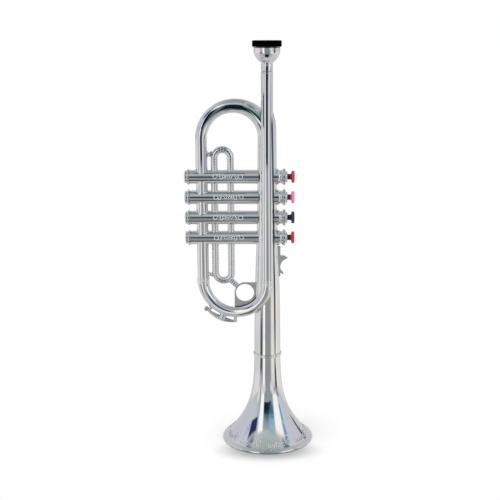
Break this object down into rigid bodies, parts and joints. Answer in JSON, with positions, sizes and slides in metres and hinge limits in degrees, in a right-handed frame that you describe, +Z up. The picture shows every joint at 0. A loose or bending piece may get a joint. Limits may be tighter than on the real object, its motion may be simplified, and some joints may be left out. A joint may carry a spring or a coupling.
{
  "type": "toy trumpet",
  "caption": "Toy trumpet of metallised plastic with a push-fit mouthpiece, sprung coloured valve buttons, wide crooks, a finger ring and a flared bell that it stands on.",
  "frame": {"origin": "centre of the bounding box on the plane that the bell's rim stands on", "axes": "+Z up from the bell's rim to the mouthpiece, +X from the valves' closed ends to their buttons, -Y the side that the leadpipe is on"},
  "size_m": [0.1326, 0.096, 0.4203],
  "materials": {
    "plated": "vacuum-metallised plastic, mirror bright",
    "black_rim": "soft black plastic, satin",
    "button_red": "moulded, glossy",
    "button_pink": "moulded, glossy",
    "button_navy": "moulded, glossy",
    "white_plastic": "natural moulded",
    "pad_silicone": "soft silicone",
    "reed_brass": "rolled strip",
    "spring_steel": "drawn wire"
  },
  "bodies": {
    "root": {"bell": "plated", "bell_collar": "plated", "bell_tube": "plated", "bell_bow": "plated", "tuning_bow": "plated", "leadpipe": "plated", "limb_lower": "plated", "ferrule_left": "plated", "ferrule_right": "plated", "small_slide_upper": "plated", "small_slide_lower": "plated", "brace_upper": "plated", "brace_lower": "plated", "finger_ring": "plated", "finger_hook": "plated", "water_key": "plated", "valve_casing_1": "plated", "valve_casing_2": "plated", "valve_casing_3": "plated", "valve_casing_4": "plated", "bottom_cap_1": "plated", "bottom_cap_2": "plated", "bottom_cap_3": "plated", "bottom_cap_4": "plated", "top_cap_1": "plated", "top_cap_2": "plated", "top_cap_3": "plated", "top_cap_4": "plated", "reed_holder_1": "white_plastic", "reed_holder_2": "white_plastic", "reed_holder_3": "white_plastic", "reed_holder_4": "white_plastic", "reed_1": "reed_brass", "reed_2": "reed_brass", "reed_3": "reed_brass", "reed_4": "reed_brass", "return_spring_1": "spring_steel", "return_spring_2": "spring_steel", "return_spring_3": "spring_steel", "return_spring_4": "spring_steel"},
    "mouthpiece": {"mouthpiece_cup": "plated", "mouthpiece_rim": "black_rim"},
    "button_1": {"valve_button_1": "button_red", "valve_pad_1": "pad_silicone"},
    "button_2": {"valve_button_2": "button_pink", "valve_pad_2": "pad_silicone"},
    "button_3": {"valve_button_3": "button_navy", "valve_pad_3": "pad_silicone"},
    "button_4": {"valve_button_4": "button_red", "valve_pad_4": "pad_silicone"}
  },
  "joints": [
    {"name": "mouthpiece_pull", "type": "slide", "parent": "root", "child": "mouthpiece", "axis": [0, 0, 1], "range_m": [0, 0.02]},
    {"name": "button_1_press", "type": "slide", "parent": "root", "child": "button_1", "axis": [-1, 0, 0], "range_m": [0, 0.0036], "stiffness_N_per_m": 120, "springref_m": -0.004, "deforming": ["return_spring_1"]},
    {"name": "button_2_press", "type": "slide", "parent": "root", "child": "button_2", "axis": [-1, 0, 0], "range_m": [0, 0.0036], "stiffness_N_per_m": 120, "springref_m": -0.004, "deforming": ["return_spring_2"]},
    {"name": "button_3_press", "type": "slide", "parent": "root", "child": "button_3", "axis": [-1, 0, 0], "range_m": [0, 0.0036], "stiffness_N_per_m": 120, "springref_m": -0.004, "deforming": ["return_spring_3"]},
    {"name": "button_4_press", "type": "slide", "parent": "root", "child": "button_4", "axis": [-1, 0, 0], "range_m": [0, 0.0036], "stiffness_N_per_m": 120, "springref_m": -0.004, "deforming": ["return_spring_4"]}
  ]
}
